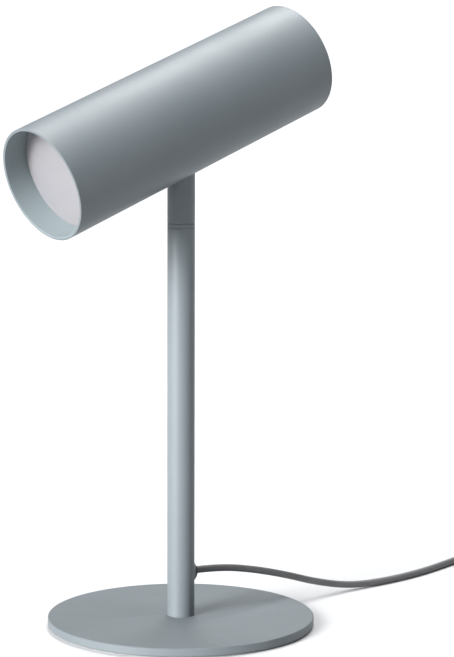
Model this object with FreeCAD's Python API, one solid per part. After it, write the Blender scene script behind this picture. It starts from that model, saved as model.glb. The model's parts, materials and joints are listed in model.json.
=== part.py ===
"""A desk lamp: a round steel foot, a plain stem, and a tubular shade that swivels and tilts on it.

Millimetres, +Z up. The origin is the centre of the foot's underside, on the stem's axis.
The light leaves the shade towards -Y, and the cord leaves the stem towards +Y.
"""

import FreeCAD
import Part

import math
import os

from FreeCAD import Vector

# ---- driving dimensions -------------------------------------------------------------------

# foot
BASE_R = 88.0
BASE_THICK = 5.5
BASE_EDGE = 0.5
PAD_R = 87.0
PAD_THICK = 1.0
BASE_TOP = PAD_THICK + BASE_THICK

# stem
STEM_R = 9.0
STEM_WALL = 1.5
STEM_BORE_R = STEM_R - STEM_WALL
STEM_TOP = 264.0
FOOT_PLUG_LENGTH = 18.0
BASE_SCREW_R = 3.0
BASE_SCREW_HEAD_R = 6.0
BASE_SCREW_LENGTH = 17.0
BASE_SCREW_Z = PAD_THICK + 0.3
HEX_SOCKET_HALF = 2.0
HEX_SOCKET_DEPTH = 2.2
DOWEL_R = 1.5
DOWEL_OFFSET = 5.5
DOWEL_LOW = 3.7
DOWEL_HIGH = BASE_TOP + 4.0
DOWEL_END_GAP = 0.2

# swivel
RING_HEIGHT = 2.8
RING_TOP = STEM_TOP + RING_HEIGHT
SEAM_CHAMFER = 0.3
NIPPLE_R = 4.0
NIPPLE_BORE_R = 2.8
NIPPLE_BOTTOM = 252.0
NIPPLE_TOP = 285.0
BUSH_LENGTH = 14.0
NECK_BUSH_LENGTH = 8.0
SWIVEL_WASHER = 1.0
LOCK_NUT_LENGTH = 5.0
STOP_PIN_R = 0.9
STOP_PIN_ORBIT = 6.2
STOP_PIN_SUNK = 4.0
STOP_GROOVE_DEPTH = 2.5
STOP_TOOTH_HALF_ANGLE = 9.0
LOCK_NUT_SLOT = 2.0

# gaps: between parts that turn or slide, between parts that never touch, and past a cut's faces
RUNNING_GAP = 0.05
SAFE_GAP = 0.4
OVERCUT = 1.0
MOUTH_OVERLAP = 0.01

# tilt pivot and neck
PIVOT_Z = 337.0
REST_TILT = 20.0
NECK_TOP = 325.0
KNUCKLE_SPIGOT = 14.0
KNUCKLE_R = 8.5
KNUCKLE_HALF = 9.0
WIRE_HOLE_R = 2.8
WIRE_ELBOW_Z = NECK_TOP + 2
WIRE_EXIT = Vector(0, 12, 2)
PIVOT_BOLT_R = 3.0
PIVOT_BOLT_END = 7.0
PIVOT_HEAD_R = 5.5
PIVOT_HEAD = 3.4
PIVOT_SOCKET_DEPTH = 2.0
SPRING_WASHER = 1.2
SPRING_WASHER_R = 5.4
PIVOT_NUT_HALF = 5.0
PIVOT_NUT = 5.0
TILT_WASHER = 1.0
TILT_WASHER_R = 8.0

# shade, along its own axis from the pivot: positive is towards the light opening
SHADE_R = 37.5
SHADE_WALL = 1.8
SHADE_BORE_R = SHADE_R - SHADE_WALL
SHADE_FRONT = 118.0
SHADE_REAR = -101.0
SHADE_EDGE = 0.35
SLOT_HALF = 9.75
SLOT_FRONT = 52.0
SLOT_REAR = -20.5
SCREW_R = 1.5
SCREW_HEAD_R = 3.0
SCREW_HEAD_HEIGHT = 1.7
SCREW_LENGTH = 6.4
SCREW_SUNK = 0.12
SHADE_SCREW_STATIONS = (77.5, 59.0, -40.0, -72.0)

# bracket inside the shade
EAR_INNER = KNUCKLE_HALF + TILT_WASHER
EAR_THICK = 2.0
EAR_R = 9.0
BRACKET_HALF = 14.0
BRACKET_TOP = -30.5
BRACKET_FRONT = 66.0
BRACKET_REAR = -84.0
EAR_FOOT_FRONT = 26.0
EAR_FOOT_REAR = -20.0
WINDOW_GAP = 0.3

# light unit
SINK_REAR = 67.0
SINK_FRONT = 80.0
SINK_PLATE = 5.0
FIN_COUNT = 11
FIN_THICK = 1.6
FIN_HALF_HEIGHT = 30.0
FIN_INSET = 1.0
FIN_SPREAD = 2 * SHADE_BORE_R - 8.1
LEAD_NOTCH_HALF = 6.0
LEAD_NOTCH_LOW = 29.0
BOARD_SCREW_R = 1.25
BOARD_SCREW_HEAD_R = 2.4
BOARD_SCREW_HEAD = 1.6
BOARD_SCREW_LENGTH = 5.0
BOARD_SCREW_ORBIT = 26.5
BOARD_THICK = 1.6
BOARD_R = 32.0
CHAMBER_FRONT = 98.0
CHAMBER_WALL = 1.5
CHAMBER_GAP = 0.2
DIFFUSER_THICK = 2.6
DIFFUSER_FACE = SHADE_FRONT - 17.3
DIFFUSER_EDGE = 0.4
LED_RINGS = ((10.0, 6), (20.0, 12))
LED_SIZE = 3.0
LED_HEIGHT = 0.8

# driver and rear cap
DRIVER_HALF = 17.0
DRIVER_HEIGHT = 22.0
DRIVER_FRONT = -32.0
DRIVER_REAR = -78.0
DRIVER_TAB = 6.0
DRIVER_TAB_THICK = 3.0
DRIVER_TAB_HALF = 6.0
DRIVER_FOOT_INSET = 3.0
DRIVER_FOOT = 2.5
DRIVER_EDGE = 1.2
DRIVER_SCREW_HEAD_R = 2.8
DRIVER_SCREW_HEAD = 2.0
DRIVER_SCREW_SUNK = 3.0
LEAD_R = 0.8
LEAD_SPACING = 3.2
CAP_RECESS = 2.0
CAP_THICK = 3.0
CAP_SKIRT = 9.0
CAP_SKIRT_WALL = 2.0
CAP_EDGE = 0.4

# cord, switch and plug
CORD_R = 2.4
GROMMET_Z = 35.0
GROMMET_HOLE_R = 4.0
GROMMET_FLANGE_R = 6.5
GROMMET_FLANGE = 0.9
GROMMET_NOSE = 2.6
GROMMET_INNER = 4.5
GROMMET_BLEND = 0.4
GROMMET_SLOPE = 0.6
GROMMET_TIP_R = CORD_R + 0.8
CLAMP_ABOVE_GROMMET = 30.0
CLAMP_LENGTH = 10.0
CLAMP_SLIT = 0.8
CLAMP_BORE_R = CORD_R + 0.1
SWITCH_LENGTH = 60.0
SWITCH_HALF = 13.0
SWITCH_HEIGHT = 17.0
SWITCH_SPLIT = 8.0
SWITCH_WALL = 2.0
SWITCH_START = Vector(36, 333, 0)
SWITCH_NOSE = 9.0
SWITCH_NOSE_INSET = 5.0
SWITCH_SCREWS_X = (10.0, SWITCH_LENGTH - 10.0)
SWITCH_SCREW_R = 1.2
SWITCH_SCREW_HEAD_R = 2.2
SWITCH_SCREW_LOW = 0.6
SWITCH_SCREW_SEAT = 2.4
SWITCH_SCREW_TOP = 12.0
SWITCH_POST_R = 3.4
SWITCH_POST_GAP = 0.2
SWITCH_POST_SUNK = 1.0
ROCKER_WINDOW_GAP_X = 1.0
ROCKER_WINDOW_GAP_Y = 0.5
BEARING_HALF = 3.0
BEARING_THICK = 2.0
SWITCH_LOWER_EDGE = 1.5
SWITCH_UPPER_EDGE = 2.5
CONTACT_HALF_LENGTH = 13.0
CONTACT_HALF_WIDTH = 1.5
CONTACT_THICK = 0.8
CONTACT_OFFSET = 4.0
ROCKER_LENGTH = 20.0
ROCKER_WIDTH = 11.0
ROCKER_TILT = 6.0
ROCKER_PIVOT_Z = 12.0
ROCKER_TOP = SWITCH_HEIGHT + 1.6
ROCKER_DIP = 1.4
ROCKER_SHOULDER = 13.6
ROCKER_UNDERSIDE = 10.6
ROCKER_FOOT_HALF = 4.0
TRUNNION_R = 1.2
TRUNNION_LENGTH = 2.2
COIL_CENTRE = Vector(132, 292.2, 0)
COIL_INNER = 19.8
COIL_OUTER = 37.8
COIL_LOW = 0.1
COIL_HIGH = 10.3
COIL_EDGE = 2.0
TIE_ANGLE = 200.0
TIE_WIDTH = 10.0
TIE_THICK = 1.2
PLUG_START = Vector(COIL_CENTRE.x + COIL_OUTER + 3.0, 262, 7.0)
PLUG_LENGTH = 36.0
PLUG_CORD_DEPTH = 10.0
PLUG_ROUNDING = 0.98
PLUG_LEAST_FLAT = 0.02
PIN_R = 2.0
PIN_ROOT_R = 1.4
PIN_LENGTH = 19.0
PIN_SLEEVE_R = 1.8
PIN_SLEEVE_LENGTH = 10.0
PIN_EMBEDDED = 8.0
PIN_SPACING = 18.6
PIN_NOSE = 1.0
# plug body sections: distance from the cord's end, half width and half height
PLUG_SECTIONS = (
    (0, 4.2, 4.2),
    (8, 5.2, 4.8),
    (20, 12.0, 6.6),
    (27, 17.4, 6.9),
    (PLUG_LENGTH, 17.4, 6.9),
)

# share of the shorter run that an arc of a route takes
ARC_SHARE = 0.45

# Where the cord runs, by hand: out of the stem, down over the foot's edge, along the table.
CORD_TO_SWITCH = [
    Vector(0, STEM_R + GROMMET_NOSE, GROMMET_Z),
    Vector(0, 33, 33.9),
    Vector(0, 61, 28.5),
    Vector(0, 91, 20.3),
    Vector(0, 121, 10.3),
    Vector(1.5, 152, 3.4),
    Vector(3, 187, 2.5),
    Vector(-0.5, 222, 2.5),
    Vector(-9, 256, 2.5),
    Vector(-17, 285, 2.5),
    Vector(-12, 312, 3.0),
    Vector(6, 328, 5.0),
    Vector(22, 333, 8.0),
    Vector(SWITCH_START.x, 333, 8.0),
]
CORD_IN_STEM = [
    Vector(0, STEM_R + GROMMET_NOSE, GROMMET_Z),
    Vector(0, 3.4, GROMMET_Z + 0.6),
    Vector(0, 0.6, GROMMET_Z + 9),
    Vector(0, 0, GROMMET_Z + 22),
    Vector(0, 0.02, NIPPLE_TOP),
]
CORD_TO_COIL = [
    Vector(SWITCH_START.x + SWITCH_LENGTH, 333, 8.0),
    Vector(108, 333, 6.6),
    Vector(120, 331.6, 3.6),
    Vector(132, 330, 2.5),
]
CORD_TO_PLUG = [
    Vector(COIL_CENTRE.x + COIL_OUTER, COIL_CENTRE.y, 7.4),
    Vector(170.3, 282, 7.6),
    Vector(172.0, 272, 7.2),
    PLUG_START,
]

X = Vector(1, 0, 0)
Y = Vector(0, 1, 0)
Z = Vector(0, 0, 1)


# ---- helpers ------------------------------------------------------------------------------


def rod(radius, start, end):
    """A solid cylinder between two points."""
    axis = end - start
    return Part.makeCylinder(radius, axis.Length, start, axis)


def upright(radius, low, high, x=0.0, y=0.0):
    return rod(radius, Vector(x, y, low), Vector(x, y, high))


def pipe(outer, inner, low, high):
    return upright(outer, low, high).cut(upright(inner, low - OVERCUT, high + OVERCUT))


def block(low, high):
    size = high - low
    return Part.makeBox(size.x, size.y, size.z, low)


def group(solids):
    """Separate solids kept in one node."""
    return Part.makeCompound(solids)


def edges_at(shape, axis, value, tolerance=1e-4):
    """Edges that lie wholly in the plane where the coordinate named by axis has this value."""
    found = []
    for edge in shape.Edges:
        box = edge.BoundBox
        low = getattr(box, axis + "Min")
        high = getattr(box, axis + "Max")
        if abs(low - value) < tolerance and abs(high - value) < tolerance:
            found.append(edge)
    return found


def along(radius, rear, front, x=0.0, z=0.0):
    """A cylinder on the shade's axis, from one station to another, in the shade's own frame."""
    return rod(radius, Vector(x, -rear, z), Vector(x, -front, z))


def in_head(shape):
    """Takes a shape from the shade's own frame, with the pivot at the origin, to its rest place."""
    placed = shape.copy()
    placed.rotate(Vector(0, 0, 0), X, REST_TILT)
    placed.translate(Vector(0, 0, PIVOT_Z))
    return placed


def rounded_route(points):
    """Straight runs joined by tangent arcs. Returns the wire and the arcs' radii."""
    edges = []
    radii = []
    start = points[0]
    for before, corner, after in zip(points, points[1:], points[2:]):
        way_in = (corner - before).normalize()
        way_out = (after - corner).normalize()
        turn = way_in.getAngle(way_out)
        shorter = min((corner - before).Length, (after - corner).Length)
        cut_back = ARC_SHARE * shorter
        radius = cut_back / math.tan(turn / 2)
        radii.append(radius)
        arc_start = corner - way_in * cut_back
        arc_end = corner + way_out * cut_back
        to_centre = (way_out - way_in).normalize()
        centre = corner + to_centre * (radius / math.cos(turn / 2))
        middle = centre - to_centre * radius
        edges.append(Part.LineSegment(start, arc_start).toShape())
        edges.append(Part.Arc(arc_start, middle, arc_end).toShape())
        start = arc_end
    edges.append(Part.LineSegment(start, points[-1]).toShape())
    return Part.Wire(edges), radii


def cord_tube(points, name=None):
    """The cord's round section carried along its route, with its length and radii printed."""
    wire, radii = rounded_route(points)
    way = (points[1] - points[0]).normalize()
    section = Part.Wire([Part.makeCircle(CORD_R, points[0], way)])
    tube = wire.makePipeShell([section], True, False)
    if name:
        expected = math.pi * CORD_R**2 * wire.Length
        print(name, "length", round(wire.Length, 1), "volume ratio", round(tube.Volume / expected, 4))
        print(name, "radii", [round(r, 1) for r in radii])
    return tube


# ---- foot and stem ------------------------------------------------------------------------


def base_pad():
    return upright(PAD_R, 0, PAD_THICK)


def base_screw_shape(gap):
    """Countersunk screw from below; gap widens it into the hole that takes it."""
    cone_height = BASE_SCREW_HEAD_R - BASE_SCREW_R
    shank = upright(BASE_SCREW_R + gap, BASE_SCREW_Z, BASE_SCREW_Z + BASE_SCREW_LENGTH)
    cone = Part.makeCone(
        BASE_SCREW_HEAD_R + gap, BASE_SCREW_R + gap, cone_height, Vector(0, 0, BASE_SCREW_Z)
    )
    return shank.fuse(cone)


def base_plate():
    plate = upright(BASE_R, PAD_THICK, BASE_TOP)
    plate = plate.makeFillet(BASE_EDGE, edges_at(plate, "Z", BASE_TOP))
    plate = plate.makeChamfer(BASE_EDGE, edges_at(plate, "Z", PAD_THICK))
    mouth = upright(BASE_SCREW_HEAD_R + RUNNING_GAP, PAD_THICK - OVERCUT, BASE_SCREW_Z)
    return plate.cut([base_screw_shape(RUNNING_GAP), mouth, dowel_hole()])


def base_screw():
    """Countersunk screw with a hexagon socket in its head."""
    socket = Part.Face(Part.makePolygon(hexagon(HEX_SOCKET_HALF, BASE_SCREW_Z)))
    return base_screw_shape(0).cut(socket.extrude(Z * HEX_SOCKET_DEPTH))


def hexagon(half_flats, z):
    corner = half_flats / math.cos(math.pi / 6)
    turns = [math.pi / 3 * k for k in range(7)]
    return [Vector(corner * math.cos(a), corner * math.sin(a), z) for a in turns]


def stem_foot():
    """Steel plug in the stem's lower end, for the base screw."""
    plug = pipe(STEM_BORE_R, BASE_SCREW_R + RUNNING_GAP, BASE_TOP, BASE_TOP + FOOT_PLUG_LENGTH)
    return plug.cut(dowel_hole())


def locating_dowel():
    """Keeps the stem from turning on the base."""
    return upright(DOWEL_R, DOWEL_LOW, DOWEL_HIGH, x=-DOWEL_OFFSET)


def dowel_hole():
    radius = DOWEL_R + RUNNING_GAP
    return upright(radius, DOWEL_LOW - DOWEL_END_GAP, DOWEL_HIGH + DOWEL_END_GAP, x=-DOWEL_OFFSET)


def stem_tube():
    tube = pipe(STEM_R, STEM_BORE_R, BASE_TOP, STEM_TOP)
    tube = tube.makeChamfer(SEAM_CHAMFER, outer_edges(tube, STEM_TOP))
    hole = rod(GROMMET_HOLE_R, Vector(0, 0, GROMMET_Z), Vector(0, STEM_R + OVERCUT, GROMMET_Z))
    return tube.cut(hole)


def outer_edges(tube, z):
    """The round edge at one height that has the stem's radius."""
    return [e for e in edges_at(tube, "Z", z) if abs(e.Curve.Radius - STEM_R) < 1e-6]


def cord_grommet():
    """Rubber grommet: neck in the stem's hole, thin flange on the stem, tapered nose on the cord."""
    centre = Vector(0, 0, GROMMET_Z)
    low = GROMMET_Z - STEM_R
    high = GROMMET_Z + STEM_R
    neck = rod(GROMMET_HOLE_R, centre + Y * (STEM_BORE_R - STEM_WALL), centre + Y * STEM_R)
    flange = rod(GROMMET_FLANGE_R, centre + Y * GROMMET_HOLE_R, centre + Y * (STEM_R + GROMMET_FLANGE))
    flange = flange.common(pipe(STEM_R + GROMMET_FLANGE, STEM_R, low, high))
    slope_r = GROMMET_FLANGE_R - GROMMET_SLOPE
    nose_start = centre + Y * (STEM_R + GROMMET_FLANGE - GROMMET_BLEND)
    nose_length = GROMMET_NOSE - GROMMET_FLANGE + GROMMET_BLEND
    nose = Part.makeCone(slope_r, GROMMET_TIP_R, nose_length, nose_start, Y)
    inner = rod(slope_r, centre + Y * GROMMET_INNER, centre + Y * STEM_BORE_R)
    inner = inner.common(upright(STEM_BORE_R, low, high))
    whole = neck.fuse([flange, nose, inner])
    passage = rod(CORD_R, centre + Y * (GROMMET_INNER - OVERCUT), nose_start + Y * (nose_length + OVERCUT))
    return whole.cut([passage, cord_tube(CORD_IN_STEM)]).removeSplitter()


def inner_cord():
    """The cord inside the stem, from the grommet up through the hollow swivel nipple."""
    return cord_tube(CORD_IN_STEM, "inner cord")


def cord_clamp():
    """Split nylon plug that holds the cord inside the stem, so that a pull stops at the stem."""
    low = GROMMET_Z + CLAMP_ABOVE_GROMMET
    high = low + CLAMP_LENGTH
    clamp = pipe(STEM_BORE_R, CLAMP_BORE_R, low, high)
    slit_start = Vector(-STEM_R, -CLAMP_SLIT / 2, low - OVERCUT)
    slit_end = Vector(-CORD_R, CLAMP_SLIT / 2, high + OVERCUT)
    return clamp.cut(block(slit_start, slit_end))


# ---- swivel -------------------------------------------------------------------------------


def stem_bush():
    bush = pipe(STEM_BORE_R, NIPPLE_R, STEM_TOP - BUSH_LENGTH, STEM_TOP)
    return bush.cut(stop_pin_at(RUNNING_GAP))


def stop_pin_at(gap):
    """The pin from the bush, through the ring, to just below the groove's floor."""
    top = RING_TOP + STOP_GROOVE_DEPTH - SAFE_GAP
    return upright(STOP_PIN_R + gap, STEM_TOP - STOP_PIN_SUNK, top, y=STOP_PIN_ORBIT)


def stop_pin():
    return stop_pin_at(0)


def swivel_nipple():
    return pipe(NIPPLE_R, NIPPLE_BORE_R, NIPPLE_BOTTOM, NIPPLE_TOP)


def swivel_ring():
    ring = pipe(STEM_R, NIPPLE_R + RUNNING_GAP, STEM_TOP, RING_TOP)
    ring = ring.makeChamfer(SEAM_CHAMFER, outer_edges(ring, STEM_TOP) + outer_edges(ring, RING_TOP))
    return ring.cut(stop_pin_at(RUNNING_GAP))


def neck_bush():
    """Turns on the nipple. The groove below takes the stop pin, and its tooth ends the turn."""
    bush = pipe(STEM_BORE_R, NIPPLE_R + RUNNING_GAP, RING_TOP, RING_TOP + NECK_BUSH_LENGTH)
    inner = STOP_PIN_ORBIT - STOP_PIN_R - SAFE_GAP
    low = RING_TOP - OVERCUT
    groove = pipe(STEM_R, inner, low, RING_TOP + STOP_GROOVE_DEPTH)
    reach = 2 * STEM_R
    side = reach * math.tan(math.radians(STOP_TOOTH_HALF_ANGLE))
    axis = Vector(0, 0, low)
    corners = [axis, Vector(-side, -reach, low), Vector(side, -reach, low), axis]
    tooth = Part.Face(Part.makePolygon(corners)).extrude(Z * (STOP_GROOVE_DEPTH + 2 * OVERCUT))
    return bush.cut(groove.cut(tooth))


def swivel_washer():
    low = RING_TOP + NECK_BUSH_LENGTH
    return pipe(STEM_BORE_R - SAFE_GAP, NIPPLE_R + RUNNING_GAP, low, low + SWIVEL_WASHER)


def lock_nut():
    """Round slotted nut on the nipple, which clamps the turning neck with the right drag."""
    low = RING_TOP + NECK_BUSH_LENGTH + SWIVEL_WASHER
    nut = pipe(STEM_BORE_R - SAFE_GAP, NIPPLE_R, low, low + LOCK_NUT_LENGTH)
    high = low + LOCK_NUT_LENGTH
    slot_start = Vector(-STEM_R, -LOCK_NUT_SLOT / 2, high - LOCK_NUT_SLOT)
    return nut.cut(block(slot_start, Vector(STEM_R, LOCK_NUT_SLOT / 2, high + OVERCUT)))


def neck_tube():
    tube = pipe(STEM_R, STEM_BORE_R, RING_TOP, NECK_TOP)
    return tube.makeChamfer(SEAM_CHAMFER, outer_edges(tube, RING_TOP))


def knuckle():
    """Spigot in the neck, a short post and a cross barrel for the tilt bolt, with a wire hole."""
    pivot = Vector(0, 0, PIVOT_Z)
    barrel = rod(KNUCKLE_R, pivot - X * KNUCKLE_HALF, pivot + X * KNUCKLE_HALF)
    post = upright(KNUCKLE_R, NECK_TOP, PIVOT_Z)
    spigot = upright(STEM_BORE_R, NECK_TOP - KNUCKLE_SPIGOT, NECK_TOP)
    whole = barrel.fuse([post, spigot])
    bore = cross_bore()
    bore.translate(pivot)
    elbow = Vector(0, 0, WIRE_ELBOW_Z)
    wire_up = rod(WIRE_HOLE_R, Vector(0, 0, NECK_TOP - KNUCKLE_SPIGOT - OVERCUT), elbow)
    wire_out = rod(WIRE_HOLE_R, elbow, elbow + WIRE_EXIT)
    return whole.cut([bore, wire_up, wire_out]).removeSplitter()


# ---- tilt pivot, all in the shade's own frame ------------------------------------------------


def cross_bore(radius=PIVOT_BOLT_R + RUNNING_GAP):
    """A rod along the tilt axis, long enough to cut through everything on it."""
    return rod(radius, X * -SHADE_R, X * SHADE_R)


def tilt_washers():
    """Fibre washers between the knuckle and the bracket's ears."""
    washers = []
    for side in (-1, 1):
        face = X * (side * KNUCKLE_HALF)
        disc = rod(TILT_WASHER_R, face, face + X * (side * TILT_WASHER))
        washers.append(disc.cut(cross_bore()))
    return in_head(group(washers))


def pivot_bolt():
    """Pan-head bolt across the knuckle, its head on the +X ear."""
    ear_face = EAR_INNER + EAR_THICK
    head_face = ear_face + PIVOT_HEAD
    shank = rod(PIVOT_BOLT_R, X * -(ear_face + PIVOT_BOLT_END), X * ear_face)
    head = rod(PIVOT_HEAD_R, X * ear_face, X * head_face)
    recess = Part.Face(Part.makePolygon(hexagon(HEX_SOCKET_HALF, 0))).extrude(Z * PIVOT_HEAD)
    recess.rotate(Vector(0, 0, 0), Y, 90)
    recess.translate(X * (head_face - PIVOT_SOCKET_DEPTH))
    return in_head(shank.fuse(head).cut(recess))


def spring_washer():
    ear_face = EAR_INNER + EAR_THICK
    washer = rod(SPRING_WASHER_R, X * -(ear_face + SPRING_WASHER), X * -ear_face)
    return in_head(washer.cut(cross_bore()))


def pivot_nut():
    start = EAR_INNER + EAR_THICK + SPRING_WASHER
    nut = Part.Face(Part.makePolygon(hexagon(PIVOT_NUT_HALF, 0))).extrude(Z * PIVOT_NUT)
    nut.rotate(Vector(0, 0, 0), Y, 90)
    nut.translate(X * -(start + PIVOT_NUT))
    return in_head(nut.cut(cross_bore(PIVOT_BOLT_R)))


def bracket_ear(side):
    """One upright ear, wide at the bracket's floor and round about the pivot."""
    inner = X * (side * EAR_INNER)
    foot = BRACKET_TOP - OVERCUT
    shoulder = EAR_R - SAFE_GAP
    outline = [
        inner + Vector(0, -EAR_FOOT_FRONT, foot),
        inner + Vector(0, -EAR_FOOT_REAR, foot),
        inner + Vector(0, shoulder, 1),
        inner + Vector(0, -shoulder, 1),
        inner + Vector(0, -EAR_FOOT_FRONT, foot),
    ]
    web = Part.Face(Part.makePolygon(outline)).extrude(X * (side * EAR_THICK))
    return web.fuse(rod(EAR_R, inner, inner + X * (side * EAR_THICK)))


def head_bracket():
    """Die-cast carrier along the shade's floor: two ears, a window for the neck, and a driver bed."""
    body = along(SHADE_BORE_R - RUNNING_GAP, BRACKET_REAR, BRACKET_FRONT)
    bed = block(
        Vector(-BRACKET_HALF, -BRACKET_FRONT, -SHADE_R),
        Vector(BRACKET_HALF, -BRACKET_REAR, BRACKET_TOP),
    )
    whole = body.common(bed).fuse([bracket_ear(-1), bracket_ear(1)])
    window = block(
        Vector(-EAR_INNER, -SLOT_FRONT - WINDOW_GAP, -SHADE_R),
        Vector(EAR_INNER, -SLOT_REAR + WINDOW_GAP, BRACKET_TOP + OVERCUT),
    )
    holes = [window, cross_bore()]
    holes += [screw_hole(s) for s in SHADE_SCREW_STATIONS]
    holes += [driver_screw(s, RUNNING_GAP) for s in driver_screw_stations()]
    return in_head(whole.cut(holes).removeSplitter())


# ---- shade --------------------------------------------------------------------------------


def shade_screw(station, gap=0.0):
    """Small countersunk screw from under the shade, in the shade's own frame."""
    bottom = Vector(0, -station, -SHADE_R + SCREW_SUNK)
    shank = rod(SCREW_R + gap, bottom, bottom + Z * SCREW_LENGTH)
    cone = Part.makeCone(SCREW_HEAD_R + gap, SCREW_R + gap, SCREW_HEAD_HEIGHT, bottom, Z)
    return shank.fuse(cone)


def screw_hole(station):
    return shade_screw(station, RUNNING_GAP)


def shade_screws():
    return in_head(group([shade_screw(s) for s in SHADE_SCREW_STATIONS]))


def shade_tube():
    """Thin aluminium tube with a slot below for the neck and countersunk screw holes."""
    bore = along(SHADE_BORE_R, SHADE_REAR - OVERCUT, SHADE_FRONT + OVERCUT)
    tube = along(SHADE_R, SHADE_REAR, SHADE_FRONT).cut(bore)
    rims = edges_at(tube, "Y", -SHADE_FRONT) + edges_at(tube, "Y", -SHADE_REAR)
    tube = tube.makeFillet(SHADE_EDGE, rims)
    low = Vector(0, 0, -SHADE_R - OVERCUT)
    high = Vector(0, 0, BRACKET_TOP)
    front_end = SLOT_FRONT - SLOT_HALF
    rear_end = SLOT_REAR + SLOT_HALF
    slot = block(Vector(-SLOT_HALF, -front_end, low.z), Vector(SLOT_HALF, -rear_end, high.z))
    for station in (front_end, rear_end):
        slot = slot.fuse(rod(SLOT_HALF, low - Y * station, high - Y * station))
    mouths = []
    for station in SHADE_SCREW_STATIONS:
        bottom = Vector(0, -station, -SHADE_R + SCREW_SUNK)
        mouths.append(rod(SCREW_HEAD_R + RUNNING_GAP, bottom - Z, bottom + Z * MOUTH_OVERLAP))
        mouths.append(screw_hole(station))
    return in_head(tube.cut([slot] + mouths))


def rear_cap():
    """Flat cap pressed in the rear of the shade, a little inside its rim."""
    face = SHADE_REAR + CAP_RECESS
    radius = SHADE_BORE_R - RUNNING_GAP
    disc = along(radius, face, face + CAP_THICK)
    disc = disc.makeChamfer(CAP_EDGE, edges_at(disc, "Y", -face))
    skirt_end = face + CAP_THICK + CAP_SKIRT
    skirt = along(radius, face + CAP_THICK, skirt_end)
    skirt = skirt.cut(along(radius - CAP_SKIRT_WALL, face, skirt_end + OVERCUT))
    return in_head(disc.fuse(skirt).removeSplitter())


# ---- light unit ---------------------------------------------------------------------------


def heat_sink():
    """Round aluminium plate with straight fins behind it."""
    radius = SHADE_BORE_R - RUNNING_GAP
    plate = along(radius, SINK_FRONT - SINK_PLATE, SINK_FRONT)
    fins = []
    for k in range(FIN_COUNT):
        x = (k / (FIN_COUNT - 1) - 0.5) * FIN_SPREAD
        start = Vector(x - FIN_THICK / 2, -SINK_FRONT, -FIN_HALF_HEIGHT)
        fins.append(block(start, Vector(x + FIN_THICK / 2, -SINK_REAR, FIN_HALF_HEIGHT)))
    round_limit = along(radius - FIN_INSET, SINK_REAR, SINK_FRONT)
    whole = plate.fuse([f.common(round_limit) for f in fins])
    notch = block(
        Vector(-LEAD_NOTCH_HALF, -SINK_FRONT - OVERCUT, LEAD_NOTCH_LOW),
        Vector(LEAD_NOTCH_HALF, -SINK_REAR + OVERCUT, SHADE_R),
    )
    holes = [screw_hole(SHADE_SCREW_STATIONS[0]), notch]
    holes += [board_screw(k, RUNNING_GAP) for k in range(3)]
    return in_head(whole.cut(holes).removeSplitter())


def board_screw(index, gap=0.0):
    angle = math.radians(90 + 120 * index)
    x = BOARD_SCREW_ORBIT * math.cos(angle)
    z = BOARD_SCREW_ORBIT * math.sin(angle)
    front = SINK_FRONT + BOARD_THICK
    shank = along(BOARD_SCREW_R + gap, front - BOARD_SCREW_LENGTH, front, x, z)
    head = along(BOARD_SCREW_HEAD_R + gap, front, front + BOARD_SCREW_HEAD, x, z)
    return shank.fuse(head)


def board_screws():
    return in_head(group([board_screw(k) for k in range(3)]))


def led_board():
    board = along(BOARD_R, SINK_FRONT, SINK_FRONT + BOARD_THICK)
    return in_head(board.cut([board_screw(k, RUNNING_GAP) for k in range(3)]))


def led_chips():
    low = SINK_FRONT + BOARD_THICK
    chips = []
    for orbit, count in LED_RINGS:
        for k in range(count):
            angle = 2 * math.pi * (k + 0.5) / count
            centre = Vector(orbit * math.cos(angle), -low, orbit * math.sin(angle))
            corner = centre - Vector(LED_SIZE / 2, LED_HEIGHT, LED_SIZE / 2)
            chips.append(Part.makeBox(LED_SIZE, LED_HEIGHT, LED_SIZE, corner))
    return in_head(group(chips))


def light_chamber():
    """White ring between the board and the diffuser, with a lip that the diffuser rests on."""
    radius = SHADE_BORE_R - RUNNING_GAP
    wide = BOARD_R + CHAMBER_GAP
    board_front = SINK_FRONT + BOARD_THICK
    wall = along(radius, SINK_FRONT, CHAMBER_FRONT)
    hollow = along(wide, SINK_FRONT - OVERCUT, board_front + OVERCUT)
    funnel_start = Vector(0, -board_front, 0)
    funnel = Part.makeCone(wide, radius - CHAMBER_WALL, CHAMBER_FRONT - board_front, funnel_start, -Y)
    return in_head(wall.cut([hollow, funnel]))


def diffuser():
    """Opal disc that fills the tube."""
    radius = SHADE_BORE_R - RUNNING_GAP
    disc = along(radius, DIFFUSER_FACE - DIFFUSER_THICK, DIFFUSER_FACE)
    return in_head(disc.makeFillet(DIFFUSER_EDGE, edges_at(disc, "Y", -DIFFUSER_FACE)))


# ---- driver -------------------------------------------------------------------------------


def driver_screw_stations():
    return (DRIVER_FRONT + DRIVER_TAB / 2, DRIVER_REAR - DRIVER_TAB / 2)


def driver_screw(station, gap=0.0):
    seat = Vector(0, -station, BRACKET_TOP + DRIVER_TAB_THICK)
    shank = rod(SCREW_R + gap, seat - Z * (DRIVER_TAB_THICK + DRIVER_SCREW_SUNK), seat)
    head = rod(DRIVER_SCREW_HEAD_R + gap, seat, seat + Z * DRIVER_SCREW_HEAD)
    return shank.fuse(head)


def driver_screws():
    return in_head(group([driver_screw(s) for s in driver_screw_stations()]))


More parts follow.
